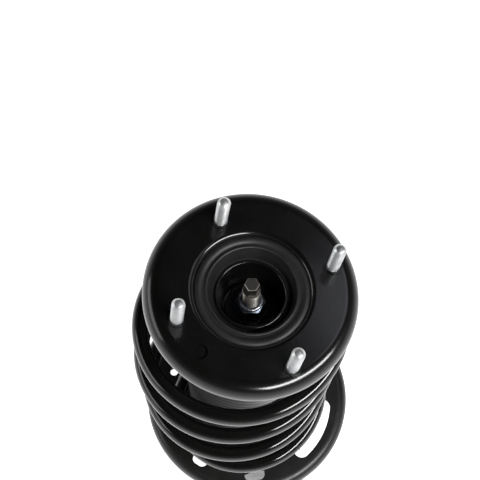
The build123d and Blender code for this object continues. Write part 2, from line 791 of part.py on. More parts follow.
# radius and angle of each window's middle from the rod, then its length outwards and its width
SEAT_WINDOWS = ((65.8, -125.2, 16.0, 15.0), (68.3, -80.6, 18.0, 19.0))


def around_rod(radius, angle):
    """Point in plan round the rod axis, from polar coordinates."""
    return (radius * cos(radians(angle)), radius * sin(radians(angle)))


with BuildPart() as lower_spring_seat:
    with BuildSketch(low_seat_section):
        with BuildLine():
            FilletPolyline(
                (SEAT_INNER_R, LOW_SEAT_Z - LOW_SEAT_SHEET / 2),
                (SEAT_WALL_R, LOW_SEAT_Z - LOW_SEAT_SHEET / 2),
                (SEAT_WALL_R, SEAT_SKIRT_Z),
                radius=SEAT_BEND_R,
            )
        trace(line_width=LOW_SEAT_SHEET)
    revolve(axis=low_seat_axis)
    # raised boss and neck, both round the tube
    with BuildSketch(rod_plane(LOW_SEAT_Z + CUT_MARGIN)):
        Circle(BOSS_R)
    extrude(amount=-2 * CUT_MARGIN, mode=Mode.SUBTRACT)
    with BuildSketch(rod_section):
        with BuildLine():
            FilletPolyline(
                (TUBE_R, LOW_SEAT_Z + BOSS_RISE - LOW_SEAT_SHEET / 2),
                (BOSS_R - BOSS_FOOT, LOW_SEAT_Z + BOSS_RISE - LOW_SEAT_SHEET / 2),
                (BOSS_R, LOW_SEAT_Z - LOW_SEAT_SHEET / 2),
                (BOSS_R + BOSS_FOOT, LOW_SEAT_Z - LOW_SEAT_SHEET / 2),
                radius=BOSS_BEND_R,
            )
        trace(line_width=LOW_SEAT_SHEET)
    revolve(axis=rod_axis)
    with BuildSketch(rod_plane(NECK_BOTTOM)):
        Circle(TUBE_R + NECK_T)
    extrude(amount=NECK_TOP - NECK_BOTTOM)
    with BuildSketch(rod_plane(NECK_BOTTOM - CUT_MARGIN)):
        Circle(TUBE_R)
    extrude(amount=NECK_TOP - NECK_BOTTOM + 2 * CUT_MARGIN, mode=Mode.SUBTRACT)
    # long slot beside the wheel, two rounded windows on the near side, one drain hole
    with BuildSketch(Plane(origin=(SLOT_X, SLOT_Y, LOW_SEAT_Z + CUT_MARGIN))):
        SlotArc(
            arc=CenterArc((0, 0), (SLOT_IN_R + SLOT_OUT_R) / 2, SLOT_FROM, SLOT_TO - SLOT_FROM),
            height=SLOT_OUT_R - SLOT_IN_R,
        )
    extrude(amount=-2 * CUT_MARGIN, mode=Mode.SUBTRACT)
    with BuildSketch(rod_plane(LOW_SEAT_Z + CUT_MARGIN)):
        for radius, angle, length, width in SEAT_WINDOWS:
            with Locations(Location((*around_rod(radius, angle), 0), (0, 0, angle))):
                RectangleRounded(length, width, WINDOW_CORNER_R)
        with Locations(around_rod(DRAIN_R, DRAIN_ANGLE)):
            Circle(DRAIN_D / 2)
    extrude(amount=-2 * CUT_MARGIN, mode=Mode.SUBTRACT)
save(lower_spring_seat, "lower_spring_seat")

# pad under the flat end of the coil, round the middle of the spring's last turn
PAD_R = COIL_TOP_R + COIL_SWELL - COIL_NARROWING - LOW_PIGTAIL
PAD_WIDTH = 12.0
PAD_FROM = 12.0
PAD_TO = 125.0
pad_plane = Plane(origin=Vector(ROD_X, ROD_Y, LOW_SEAT_Z) + BOTTOM_OFFSET)
with BuildPart() as lower_pad:
    with BuildSketch(pad_plane):
        SlotArc(arc=CenterArc((0, 0), PAD_R, PAD_FROM, PAD_TO - PAD_FROM), height=PAD_WIDTH)
    extrude(amount=LOW_PAD_T)
save(lower_pad, "lower_pad")

CLIP_IN_R = cuff_r + BOOT_WALL + 0.1
CLIP_T = 1.5
CLIP_MARGIN = 2.0
boot_clip = ring(CLIP_IN_R + CLIP_T, CLIP_IN_R, CUFF_BOTTOM + CLIP_MARGIN, CUFF_TOP - CLIP_MARGIN)
save(boot_clip, "boot_clip")

# ------------------------------------------------------------------ brackets on the damper tube

# pressed U: wraps the back of the tube and runs outboard as two ears for the knuckle bolts
WRAP_R = TUBE_R + EAR_T
EAR_OUT_Y = EAR_GAP / 2 + EAR_T
EAR_HEIGHT = EAR_TOP - EAR_BOTTOM
GAP_START = 10.0
EAR_BLEND_R = 6.0
PAST_EARS = 60.0
OUTLINE_MARGIN = 2.0
with BuildPart() as knuckle_bracket:
    with BuildSketch(rod_plane(EAR_BOTTOM)):
        Circle(WRAP_R)
        with Locations((EAR_REACH / 2, 0)):
            Rectangle(EAR_REACH, 2 * EAR_OUT_Y)
        Circle(TUBE_R, mode=Mode.SUBTRACT)
        with Locations((EAR_REACH, 0)):
            Rectangle(2 * (EAR_REACH - GAP_START), EAR_GAP, mode=Mode.SUBTRACT)
    extrude(amount=EAR_HEIGHT)
    # side view of the ears: sloped at the top, cut back between the two bolt bosses
    with BuildSketch(rod_section):
        with BuildLine():
            FilletPolyline(
                (-WRAP_R - OUTLINE_MARGIN, EAR_TOP + OUTLINE_MARGIN),
                (30.0, EAR_TOP + OUTLINE_MARGIN),
                (66.0, BOLT_UPPER_Z + 16.0),
                (EAR_REACH, BOLT_UPPER_Z + 6.0),
                (EAR_REACH, BOLT_UPPER_Z - 14.0),
                (EAR_REACH - 12.0, (BOLT_UPPER_Z + BOLT_LOWER_Z) / 2),
                (EAR_REACH, BOLT_LOWER_Z + 14.0),
                (EAR_REACH, BOLT_LOWER_Z - 10.0),
                (EAR_REACH - 12.0, EAR_BOTTOM),
                (30.0, EAR_BOTTOM),
                (-WRAP_R - OUTLINE_MARGIN, EAR_BOTTOM + 12.0),
                radius=EAR_BLEND_R,
                close=True,
            )
        make_face()
    extrude(amount=PAST_EARS, both=True, mode=Mode.INTERSECT)
    with BuildSketch(rod_section):
        with Locations((BOLT_X, BOLT_UPPER_Z), (BOLT_X, BOLT_LOWER_Z)):
            Circle(BOLT_R)
    extrude(amount=PAST_EARS, both=True, mode=Mode.SUBTRACT)
save(knuckle_bracket, "knuckle_bracket")

# inner channel welded between the ears, closing the box in front of the tube
CHANNEL_T = 3.5
CHANNEL_X = 34.0
CHANNEL_LEG = 10.0
CHANNEL_BOTTOM = EAR_BOTTOM + 10.0
CHANNEL_HEIGHT = EAR_HEIGHT - 22.0
with BuildPart() as bracket_channel:
    with BuildSketch(rod_plane(CHANNEL_BOTTOM)):
        with Locations((CHANNEL_X, 0)):
            Rectangle(CHANNEL_T, EAR_GAP)
        leg_y = (EAR_GAP - CHANNEL_T) / 2
        with Locations((CHANNEL_X + CHANNEL_LEG / 2, leg_y), (CHANNEL_X + CHANNEL_LEG / 2, -leg_y)):
            Rectangle(CHANNEL_LEG, CHANNEL_T)
    extrude(amount=CHANNEL_HEIGHT)
save(bracket_channel, "bracket_channel")


def tube_side(angle, height):
    """Upright plane on the rod axis, its local X pointing out at an angle round the tube."""
    outward = Vector(1, 0, 0).rotate(Axis.Z, angle)
    return Plane(origin=(ROD_X, ROD_Y, height), x_dir=outward, z_dir=outward.rotate(Axis.Z, -90))


# anti-roll bar link tab: folded plate with one hole
LINK_ANGLE = 65.0
LINK_Z = -372.0
LINK_REACH = 58.0
LINK_HOLE_R = 6.1
LINK_T = 5.0
LINK_EDGE = 14.0
LINK_CORNER_R = 4.0
LINK_ROOT = TUBE_R - 6.0
PAST_TABS = 80.0
with BuildPart() as link_tab:
    with BuildSketch(tube_side(LINK_ANGLE, LINK_Z)):
        with BuildLine():
            FilletPolyline(
                (LINK_ROOT, -20.0),
                (LINK_REACH - 16.0, -14.0),
                (LINK_REACH, -8.0),
                (LINK_REACH, LINK_EDGE),
                (LINK_REACH - 12.0, 16.0),
                (LINK_ROOT, 24.0),
                radius=LINK_CORNER_R,
                close=True,
            )
        make_face()
        with Locations((LINK_REACH - LINK_EDGE, 0)):
            Circle(LINK_HOLE_R, mode=Mode.SUBTRACT)
    extrude(amount=LINK_T / 2, both=True)
    with Locations(rod_plane(LINK_Z)):
        Cylinder(TUBE_R, PAST_TABS, mode=Mode.SUBTRACT)
save(link_tab, "link_tab")

# brake hose bracket: lighter folded strip with a round eye
HOSE_ANGLE = 140.0
HOSE_Z = -424.0
HOSE_T = 3.0
HOSE_REACH = 52.0
HOSE_HOLE_R = 5.2
HOSE_FOOT = 22.0
HOSE_WIDTH = 24.0
HOSE_FOOT_WIDTH = 22.0
HOSE_EDGE = 12.0
HOSE_CORNER_R = 5.0
outward = Vector(1, 0, 0).rotate(Axis.Z, HOSE_ANGLE)
hose_plane = Plane(origin=(ROD_X, ROD_Y, HOSE_Z), x_dir=outward, z_dir=(0, 0, 1))
with BuildPart() as hose_bracket:
    with BuildSketch(hose_plane):
        with Locations((HOSE_REACH / 2, 0)):
            RectangleRounded(HOSE_REACH, HOSE_WIDTH, HOSE_CORNER_R)
        with Locations((HOSE_REACH - HOSE_EDGE, 0)):
            Circle(HOSE_HOLE_R, mode=Mode.SUBTRACT)
    extrude(amount=HOSE_T)
    with BuildSketch(hose_plane):
        with Locations((TUBE_R + HOSE_T / 2, 0)):
            Rectangle(HOSE_T, HOSE_FOOT_WIDTH)
    extrude(amount=-HOSE_FOOT)
    with Locations(rod_plane(HOSE_Z)):
        Cylinder(TUBE_R, PAST_TABS, mode=Mode.SUBTRACT)
save(hose_bracket, "hose_bracket")

# blank wrap-round sticker on the near side of the tube
LABEL_T = 0.3
LABEL_TOP = -372.0
LABEL_BOTTOM = -436.0
LABEL_HALF_ANGLE = 60.0
with BuildPart() as tube_label:
    with BuildSketch(rod_plane(LABEL_BOTTOM)):
        with BuildLine():
            outer = CenterArc((0, 0), TUBE_R + LABEL_T, -90 - LABEL_HALF_ANGLE, 2 * LABEL_HALF_ANGLE)
            inner = CenterArc((0, 0), TUBE_R, -90 - LABEL_HALF_ANGLE, 2 * LABEL_HALF_ANGLE)
            Line(outer @ 0, inner @ 0)
            Line(outer @ 1, inner @ 1)
        make_face()
    extrude(amount=LABEL_TOP - LABEL_BOTTOM)
save(tube_label, "tube_label")
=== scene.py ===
"""Finished looks for the suspension strut: surfaces, spring, boot, threads, welds, light and camera."""
import json
from math import cos, pi, radians, sin, sqrt, tau

import bpy
from mathutils import Euler, Matrix, Vector


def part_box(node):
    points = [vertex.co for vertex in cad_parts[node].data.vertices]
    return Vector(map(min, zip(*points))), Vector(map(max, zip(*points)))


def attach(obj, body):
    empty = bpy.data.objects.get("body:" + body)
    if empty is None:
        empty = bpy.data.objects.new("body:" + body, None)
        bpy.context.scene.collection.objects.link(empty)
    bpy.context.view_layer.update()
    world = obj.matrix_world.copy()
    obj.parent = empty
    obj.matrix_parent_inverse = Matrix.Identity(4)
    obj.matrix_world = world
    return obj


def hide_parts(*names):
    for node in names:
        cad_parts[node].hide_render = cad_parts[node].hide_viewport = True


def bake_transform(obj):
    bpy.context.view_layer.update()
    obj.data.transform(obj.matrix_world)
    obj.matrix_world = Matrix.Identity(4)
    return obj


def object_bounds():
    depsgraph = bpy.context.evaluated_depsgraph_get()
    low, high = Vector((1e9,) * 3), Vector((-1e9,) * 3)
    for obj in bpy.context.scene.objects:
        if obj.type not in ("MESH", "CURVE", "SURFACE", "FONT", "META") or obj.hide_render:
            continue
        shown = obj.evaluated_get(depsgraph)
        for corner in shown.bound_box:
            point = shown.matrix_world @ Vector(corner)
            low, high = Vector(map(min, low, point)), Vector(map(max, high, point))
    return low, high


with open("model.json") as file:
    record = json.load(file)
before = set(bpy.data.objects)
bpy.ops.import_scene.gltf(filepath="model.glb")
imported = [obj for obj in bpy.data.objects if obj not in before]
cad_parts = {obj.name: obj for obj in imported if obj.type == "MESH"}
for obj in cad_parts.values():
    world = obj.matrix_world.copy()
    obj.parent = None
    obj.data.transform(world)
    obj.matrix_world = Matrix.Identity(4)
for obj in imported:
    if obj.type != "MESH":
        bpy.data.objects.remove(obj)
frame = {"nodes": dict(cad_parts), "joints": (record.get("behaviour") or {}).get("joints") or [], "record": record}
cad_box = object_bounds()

MM = 0.001
scene = bpy.context.scene
record = frame["record"]
nodes = frame["nodes"]

# ---------------------------------------------------------------- places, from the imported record
joints = {joint["name"]: joint for joint in frame["joints"]}
mounts = {mount["name"]: mount for mount in record["mounts"]}
ROD = Vector(joints["steer_swivel"]["pos_m"])

MOUNT_UP = Vector(mounts["tower_centre"]["axis"]).normalized()
MOUNT_Y = Vector((0, MOUNT_UP.z, -MOUNT_UP.y)).normalized()
MOUNT_X = MOUNT_Y.cross(MOUNT_UP)
STUD_ANGLES = (20.2, 114.1, 200.2, 294.1)
STUD_CIRCLE_R = mounts["tower_centre"]["dims"]["pcd_mm"] / 2 * MM
STUD_R = mounts["tower_centre"]["dims"]["stud_r_mm"] * MM


def frame_at(origin, x_axis, z_axis):
    """Matrix whose columns are a right-handed set of axes at a point."""
    y_axis = z_axis.cross(x_axis)
    matrix = Matrix((x_axis, y_axis, z_axis)).transposed().to_4x4()
    matrix.translation = origin
    return matrix


BUSH_CENTRE = MOUNT_X * -2.54 * MM + MOUNT_Y * 1.98 * MM
MOUNT_FRAME = frame_at(BUSH_CENTRE, MOUNT_X, MOUNT_UP)
STUD_FRAME = frame_at(Vector((0, 0, 0)), MOUNT_X, MOUNT_UP)
ROD_FRAME = Matrix.Translation((ROD.x, ROD.y, 0))

# ---------------------------------------------------------------- camera
CAMERA_PLACE = Vector((-0.0880, -0.2952, 0.8344))
CAMERA_TURN = Euler((radians(21.83), radians(-5.04), radians(-0.97)))
camera_data = bpy.data.cameras.new("camera")
camera_data.lens = 90
camera_data.sensor_width = 36
camera = bpy.data.objects.new("camera", camera_data)
scene.collection.objects.link(camera)
camera.matrix_world = MOUNT_FRAME @ Matrix.LocRotScale(CAMERA_PLACE, CAMERA_TURN, None)
scene.camera = camera


# ---------------------------------------------------------------- material tools
class Nodes:
    """A material's node tree, with short calls for the nodes used here."""

    def __init__(self, name):
        self.material = bpy.data.materials.new(name)
        self.material.use_nodes = True
        self.tree = self.material.node_tree
        self.shader = self.tree.nodes["Principled BSDF"]
        self.place = self.tree.nodes.new("ShaderNodeTexCoord").outputs["Object"]

    def link(self, source, target):
        self.tree.links.new(source, target)

    def set(self, **values):
        """Set the shader's inputs: a word, or a node output to follow."""
        for key, value in values.items():
            socket = self.shader.inputs[key.replace("_", " ")]
            if isinstance(value, bpy.types.NodeSocket):
                self.link(value, socket)
            else:
                socket.default_value = value

    def noise(self, scale, detail=3.0, roughness=0.5, distortion=0.0, place=None):
        node = self.tree.nodes.new("ShaderNodeTexNoise")
        node.inputs["Scale"].default_value = scale
        node.inputs["Detail"].default_value = detail
        node.inputs["Roughness"].default_value = roughness
        node.inputs["Distortion"].default_value = distortion
        self.link(place or self.place, node.inputs["Vector"])
        return node.outputs["Fac"]

    def cells(self, scale, feature="F1", place=None):
        node = self.tree.nodes.new("ShaderNodeTexVoronoi")
        node.feature = feature
        node.inputs["Scale"].default_value = scale
        self.link(place or self.place, node.inputs["Vector"])
        return node.outputs["Distance"]

    def range(self, value, low, high, to_low=0.0, to_high=1.0):
        """Map a value from one range to another, held at both ends."""
        node = self.tree.nodes.new("ShaderNodeMapRange")
        self.link(value, node.inputs["Value"])
        for key, number in zip(("From Min", "From Max", "To Min", "To Max"), (low, high, to_low, to_high)):
            node.inputs[key].default_value = number
        return node.outputs["Result"]

    def math(self, operation, first, second=0.0):
        node = self.tree.nodes.new("ShaderNodeMath")
        node.operation = operation
        for socket, value in zip(node.inputs, (first, second)):
            if isinstance(value, bpy.types.NodeSocket):
                self.link(value, socket)
            else:
                socket.default_value = value
        return node.outputs["Value"]

    def mix(self, share, first, second):
        """Blend two colours, each four numbers or a node output."""
        node = self.tree.nodes.new("ShaderNodeMix")
        node.data_type = "RGBA"
        self.link(share, node.inputs["Factor"])
        for socket, value in zip((node.inputs[6], node.inputs[7]), (first, second)):
            if isinstance(value, bpy.types.NodeSocket):
                self.link(value, socket)
            else:
                socket.default_value = value
        return node.outputs[2]

    def bump(self, height, strength, distance, under=None):
        node = self.tree.nodes.new("ShaderNodeBump")
        node.inputs["Strength"].default_value = strength
        node.inputs["Distance"].default_value = distance
        self.link(height, node.inputs["Height"])
        if under is not None:
            self.link(under, node.inputs["Normal"])
        return node.outputs["Normal"]

    def stretched(self, x, y, z):
        """Object coordinates scaled along each axis, for drawn-out grain."""
        node = self.tree.nodes.new("ShaderNodeMapping")
        node.inputs["Scale"].default_value = (x, y, z)
        self.link(self.place, node.inputs["Vector"])
        return node.outputs["Vector"]


def grey(value, warm=0.0):
    """Opaque grey, a little warmer or cooler than neutral."""
    return (value * (1 + warm), value, value * (1 - warm), 1)


def black_paint(name, value, roughness, coat, peel, dust):
    """Sprayed or dipped black: slight orange peel, cloudy roughness and settled dust."""
    made = Nodes(name)
    cloud = made.noise(38, 4, 0.55)
    fine = made.noise(900, 2, 0.6)
    specks = made.range(made.cells(420), 0.05, 0.10, dust, 0.0)
    body = made.mix(made.range(cloud, 0.3, 0.7), grey(value * 0.85, 0.04), grey(value * 1.15, 0.05))
    made.set(
        Base_Color=made.mix(specks, body, grey(0.16, 0.03)),
        Roughness=made.range(cloud, 0.25, 0.75, roughness * 0.85, roughness * 1.18),
        Coat_Weight=coat,
        Coat_Roughness=roughness * 0.5,
        Normal=made.bump(fine, peel, 0.00008, made.bump(made.noise(260, 1), peel, 0.0002)),
    )
    return made.material


def zinc_plating(name, value=0.62):
    """Bright zinc: fine crystal grain, faint blue cast, duller patches."""
    made = Nodes(name)
    grain = made.noise(1500, 3, 0.6)
    patch = made.noise(120, 3)
    made.set(
        Base_Color=made.mix(made.range(patch, 0.35, 0.65), (value * 0.93, value * 0.97, value, 1), grey(value * 1.12)),
        Metallic=0.9,
        Roughness=made.range(patch, 0.3, 0.7, 0.30, 0.42),
        Normal=made.bump(grain, 0.25, 0.00005),
    )
    return made.material


def bare_steel(name, value, roughness, warm=0.03, turned=0.0):
    """Machined steel with fine turning lines round the vertical and light staining."""
    made = Nodes(name)
    lines = made.noise(1, 3, 0.6, place=made.stretched(60, 60, 4200))
    stain = made.noise(90, 4)
    made.set(
        Base_Color=made.mix(made.range(stain, 0.35, 0.7), grey(value, warm), grey(value * 0.72, warm * 2)),
        Metallic=1.0,
        Roughness=made.range(stain, 0.3, 0.7, roughness * 0.85, roughness * 1.25),
        Normal=made.bump(lines, turned, 0.00004),
    )
    return made.material


def plated_nut(name):
    """Blue-black plated nut, its crimped top lip rubbed bright."""
    made = Nodes(name)
    split = made.tree.nodes.new("ShaderNodeSeparateXYZ")
    made.link(made.place, split.inputs[0])
    lip = made.range(split.outputs["Z"], NUT_LIP_Z - 0.0004, NUT_LIP_Z)
    patch = made.noise(150, 4, 0.6)
    plated = made.mix(made.range(patch, 0.35, 0.65), (0.20, 0.23, 0.28, 1), (0.10, 0.115, 0.14, 1))
    made.set(
        Base_Color=made.mix(lip, plated, grey(0.9)),
        Metallic=1.0,
        Roughness=made.range(patch, 0.3, 0.7, 0.22, 0.36),
        Normal=made.bump(made.noise(900, 2), 0.12, 0.00005),
    )
    return made.material


def moulded_rubber(name, value, roughness, sheen=0.0, grain=0.3):
    """Matte rubber with moulding grain, bloom and a little dust."""
    made = Nodes(name)
    bloom = made.noise(55, 5, 0.6)
    pores = made.noise(1400, 2)
    made.set(
        Base_Color=made.mix(made.range(bloom, 0.35, 0.7), grey(value), grey(value * 1.35, 0.02)),
        Roughness=made.range(bloom, 0.3, 0.7, roughness * 0.92, min(1.0, roughness * 1.08)),
        Sheen_Weight=sheen,
        Normal=made.bump(pores, grain, 0.00006),
    )
    return made.material


def pleated_rubber(name, value, roughness):
    """Boot rubber: painted shade between the pleats, a painted highlight along their crests."""
    made = Nodes(name)
    split = made.tree.nodes.new("ShaderNodeSeparateXYZ")
    made.link(made.place, split.inputs[0])
    across_x = made.math("SUBTRACT", split.outputs["X"], ROD.x)
    across_y = made.math("SUBTRACT", split.outputs["Y"], ROD.y)
    squares = made.math("ADD", made.math("POWER", across_x, 2.0), made.math("POWER", across_y, 2.0))
    radius = made.math("SQRT", squares)
    crest = made.range(split.outputs["Z"], -0.2426, -0.060, 0.049, 0.054)
    depth = made.math("SUBTRACT", crest, radius)
    bloom = made.noise(55, 5, 0.6)
    wall = made.mix(made.range(bloom, 0.35, 0.7), grey(value), grey(value * 1.35, 0.02))
    # painted shade: the colour darkens deep between the pleats, where less light reaches
    shaded = made.mix(made.range(depth, 0.0016, 0.0045), wall, grey(value * 0.22))
    made.set(
        # painted highlight: the colour is paler along the pleat crests
        Base_Color=made.mix(made.range(depth, 0.0002, 0.0013, 1.0, 0.0), shaded, grey(value * 2.4)),
        Specular_IOR_Level=made.range(depth, 0.0004, 0.0032, 0.85, 0.06),
        Roughness=made.range(bloom, 0.3, 0.7, roughness * 0.92, roughness * 1.08),
        Normal=made.bump(made.noise(1400, 2), 0.3, 0.00006),
    )
    return made.material


def plain_plastic(name, colour, roughness):
    """Moulded plastic with faint flow marks."""
    made = Nodes(name)
    flow = made.noise(70, 4, 0.6, 0.4)
    darker = tuple(channel * 0.86 for channel in colour[:3]) + (1,)
    made.set(
        Base_Color=made.mix(made.range(flow, 0.35, 0.65), colour, darker),
        Roughness=made.range(flow, 0.3, 0.7, roughness * 0.9, roughness * 1.15),
        Normal=made.bump(made.noise(1100, 2), 0.15, 0.00005),
    )
    return made.material


NUT_LIP_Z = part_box("rod_nut")[1].z - 0.3 * MM
MATERIALS = {
    "gloss_black_paint": black_paint("gloss_black_paint", 0.0045, 0.17, 0.1, 0.05, 0.12),
    "spring_coating": black_paint("spring_coating", 0.0055, 0.13, 0.2, 0.06, 0.06),
    "satin_black_paint": black_paint("satin_black_paint", 0.010, 0.36, 0.0, 0.12, 0.15),
    "zinc_plate": zinc_plating("zinc_plate"),
    "dark_plated_nut": plated_nut("dark_plated_nut"),
    "plain_steel": bare_steel("plain_steel", 0.42, 0.36, 0.03, 0.4),
    "chrome_rod": bare_steel("chrome_rod", 0.28, 0.34, 0.05, 0.12),
    "bush_rubber": moulded_rubber("bush_rubber", 0.008, 0.5, 0.0),
    "pad_rubber": moulded_rubber("pad_rubber", 0.02, 0.75),
    "boot_rubber": pleated_rubber("boot_rubber", 0.020, 0.42),
    "stop_foam": moulded_rubber("stop_foam", 0.42, 0.85, 0.2, 0.8),
    "bearing_steel": bare_steel("bearing_steel", 0.6, 0.2, 0.0, 0.1),
    "cage_plastic": plain_plastic("cage_plastic", (0.62, 0.58, 0.45, 1), 0.5),
    "lock_ring_plastic": plain_plastic("lock_ring_plastic", (0.05, 0.06, 0.08, 1), 0.45),
    "sintered_iron": bare_steel("sintered_iron", 0.2, 0.6, 0.02, 0.1),
    "band_plastic": plain_plastic("band_plastic", (0.05, 0.08, 0.06, 1), 0.5),
    "label_film": plain_plastic("label_film", (0.66, 0.61, 0.60, 1), 0.35),
}

# every CAD node takes the material of its slot in the record
slot_of = {part["node"]: part["material_slot"] for part in record["subparts"]}
for node_name, node in nodes.items():
    node.data.materials.clear()
    node.data.materials.append(MATERIALS[slot_of[node_name]])


# ---------------------------------------------------------------- mesh tools
def add_piece(name, points, faces, body, slot_name, smooth_angle=35.0):
    """Make a closed mesh in the row frame, shaded smooth under an angle, riding on a body."""
    mesh = bpy.data.meshes.new(name)
    mesh.from_pydata([tuple(point) for point in points], [], faces)
    mesh.validate()
    mesh.polygons.foreach_set("use_smooth", [True] * len(mesh.polygons))
    mesh.set_sharp_from_angle(angle=radians(smooth_angle))
    mesh.materials.append(MATERIALS[slot_name])
    piece = bpy.data.objects.new(name, mesh)
    scene.collection.objects.link(piece)
    if body:
        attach(piece, body)
    return piece


def swept_rings(rings, closed_ends=True, loop=False):
    """Points and faces of a tube through rings that hold the same number of points."""
    count = len(rings[0])
    points = [point for ring in rings for point in ring]
    faces = []
    spans = len(rings) if loop else len(rings) - 1
    for row in range(spans):
        here = row * count
        there = (row + 1) % len(rings) * count
        for k in range(count):
            k2 = (k + 1) % count
            faces.append((here + k, here + k2, there + k2, there + k))
    if closed_ends and not loop:
        faces.append(tuple(range(count - 1, -1, -1)))
        last = (len(rings) - 1) * count
        faces.append(tuple(range(last, last + count)))
    return points, faces


# ---------------------------------------------------------------- coil spring
WIRE_R = 6.5 * MM
SPRING_TOP_TURN = -0.74
SPRING_BOTTOM_TURN = 3.72
TOP_LEAD_IN = 0.61
BOTTOM_LEAD_IN = 0.65
COIL_TOP_R = 79.4 * MM
COIL_SWELL = 3.2 * MM
COIL_NARROWING = 10.4 * MM
TOP_PIGTAIL = 14.1 * MM
TOP_PIGTAIL_TURNS = 0.75
TOP_PIGTAIL_CURVE = 1.2
LOW_PIGTAIL = 15.5 * MM
LOW_PIGTAIL_START = 2.78
LOW_PIGTAIL_TURNS = 0.58
TOP_OFFSET = Vector((-1.6, -3.2, 0)) * MM
BOTTOM_OFFSET = Vector((1.9, -5.1, 0)) * MM
SPRING_BOW = Vector((9.8, -6.1, 0)) * MM
RINGS_PER_TURN = 96
WIRE_SIDES = 28
END_ROUND = 1.2 * MM

spring_low, spring_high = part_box("coil_spring")
SPRING_TOP_Z = spring_high.z - WIRE_R
SPRING_BOTTOM_Z = spring_low.z + WIRE_R


def eased(value):
    """Smooth ramp from 0 to 1."""
    value = min(max(value, 0), 1)
    return value * value * (3 - 2 * value)


def spring_line():
    """Middle line of the wire, as in the CAD model: flat ends, narrowing coils, bowed axis."""
    turns_made = SPRING_BOTTOM_TURN - SPRING_TOP_TURN
    steps = int(turns_made * RINGS_PER_TURN)
    turns = [SPRING_TOP_TURN + turns_made * step / steps for step in range(steps + 1)]
    falls = [0.0]
    for start, end in zip(turns, turns[1:]):
        middle = (start + end) / 2
        slope = eased((middle - SPRING_TOP_TURN) / TOP_LEAD_IN)
        falls.append(falls[-1] + slope * eased((SPRING_BOTTOM_TURN - middle) / BOTTOM_LEAD_IN))
    line = []
    for turn, fall in zip(turns, falls):
        share = fall / falls[-1]
        coil_r = COIL_TOP_R + COIL_SWELL * share - COIL_NARROWING * share**2
        from_top = (turn - SPRING_TOP_TURN) / TOP_PIGTAIL_TURNS
        coil_r -= TOP_PIGTAIL * max(0, 1 - from_top) ** TOP_PIGTAIL_CURVE
        coil_r -= LOW_PIGTAIL * min(max((turn - LOW_PIGTAIL_START) / LOW_PIGTAIL_TURNS, 0), 1)
        middle = TOP_OFFSET * (1 - share) + BOTTOM_OFFSET * share - SPRING_BOW * 4 * share * (1 - share)
        angle = -pi / 2 - tau * turn
        height = SPRING_TOP_Z + (SPRING_BOTTOM_Z - SPRING_TOP_Z) * share
        line.append(Vector((ROD.x + coil_r * cos(angle), ROD.y + coil_r * sin(angle), height)) + middle)
    return line


def ring_round(centre, along, radius, sides):
    """Circle of points round a line's direction, its first point as high as it can be."""
    side = Vector((0, 0, 1)).cross(along).normalized()
    up = along.cross(side).normalized()
    return [
        centre + (up * cos(tau * k / sides) + side * sin(tau * k / sides)) * radius for k in range(sides)
    ]


def build_spring():
    line = spring_line()
    rings, heights = [], []
    for index, centre in enumerate(line):
        before = line[max(index - 1, 0)]
        after = line[min(index + 1, len(line) - 1)]
        along = (after - before).normalized()
        if index == 0:
            rings.append(ring_round(centre, along, WIRE_R - END_ROUND, WIRE_SIDES))
            rings.append(ring_round(centre + along * END_ROUND * 0.3, along, WIRE_R - END_ROUND * 0.3, WIRE_SIDES))
            rings.append(ring_round(centre + along * END_ROUND, along, WIRE_R, WIRE_SIDES))
        elif index == len(line) - 1:
            rings.append(ring_round(centre - along * END_ROUND, along, WIRE_R, WIRE_SIDES))
            rings.append(ring_round(centre - along * END_ROUND * 0.3, along, WIRE_R - END_ROUND * 0.3, WIRE_SIDES))
            rings.append(ring_round(centre, along, WIRE_R - END_ROUND, WIRE_SIDES))
        else:
            rings.append(ring_round(centre, along, WIRE_R, WIRE_SIDES))
        heights += [centre.z] * (len(rings) - len(heights))
    points, faces = swept_rings(rings)
    spring = add_piece("coil_spring_wound", points, faces, None, "spring_coating", 50)
    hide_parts("coil_spring")
    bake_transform(spring)


build_spring()


# ---------------------------------------------------------------- dust boot
BOOT_FOLDS = 22
BOOT_PITCH = 8.3 * MM
BOOT_TOP_R = 54.0 * MM
BOOT_BOTTOM_R = 49.0 * MM
BOOT_FOLD_DEPTH = 7.0 * MM
BOOT_WALL = 1.4 * MM
BOOT_SIDES = 160
CREASE_SHARPNESS = 1.5
STEPS_PER_FOLD = 12

boot_low, boot_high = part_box("dust_boot")
FOLDS_TOP_Z = boot_high.z - 2.0 * MM
CUFF_TOP_Z = boot_low.z + 10.0 * MM
CUFF_R = 26.2 * MM


def boot_profile():
    """Outer line of the boot from its collar down to the cuff, the crests creased."""
    line = [(50.0 * MM, boot_high.z - 0.4 * MM), (50.6 * MM, FOLDS_TOP_Z)]
    steps = BOOT_FOLDS * STEPS_PER_FOLD
    for step in range(steps + 1):
        share = step / steps
        across = (step / STEPS_PER_FOLD) % 1
        wave = (1 - abs(2 * across - 1)) ** CREASE_SHARPNESS
        crest = BOOT_TOP_R + (BOOT_BOTTOM_R - BOOT_TOP_R) * share
        radius = crest - BOOT_FOLD_DEPTH * (1 - wave)
        line.append((radius, FOLDS_TOP_Z - share * BOOT_FOLDS * BOOT_PITCH))
    line += [
        (38.0 * MM, boot_low.z + 30.0 * MM),
        (30.0 * MM, CUFF_TOP_Z + 4.0 * MM),
        (CUFF_R + BOOT_WALL, CUFF_TOP_Z),
        (CUFF_R + BOOT_WALL, boot_low.z),
    ]
    return line


def lathe(name, profile, matrix, sides, body, slot_name, smooth_angle=35.0):
    """Turn a closed (radius, height) outline about a frame's Z axis."""
    rings = []
    for k in range(sides):
        angle = tau * k / sides
        rings.append([matrix @ Vector((r * cos(angle), r * sin(angle), z)) for r, z in profile])
    points, faces = swept_rings(rings, loop=True)
    return add_piece(name, points, faces, body, slot_name, smooth_angle)


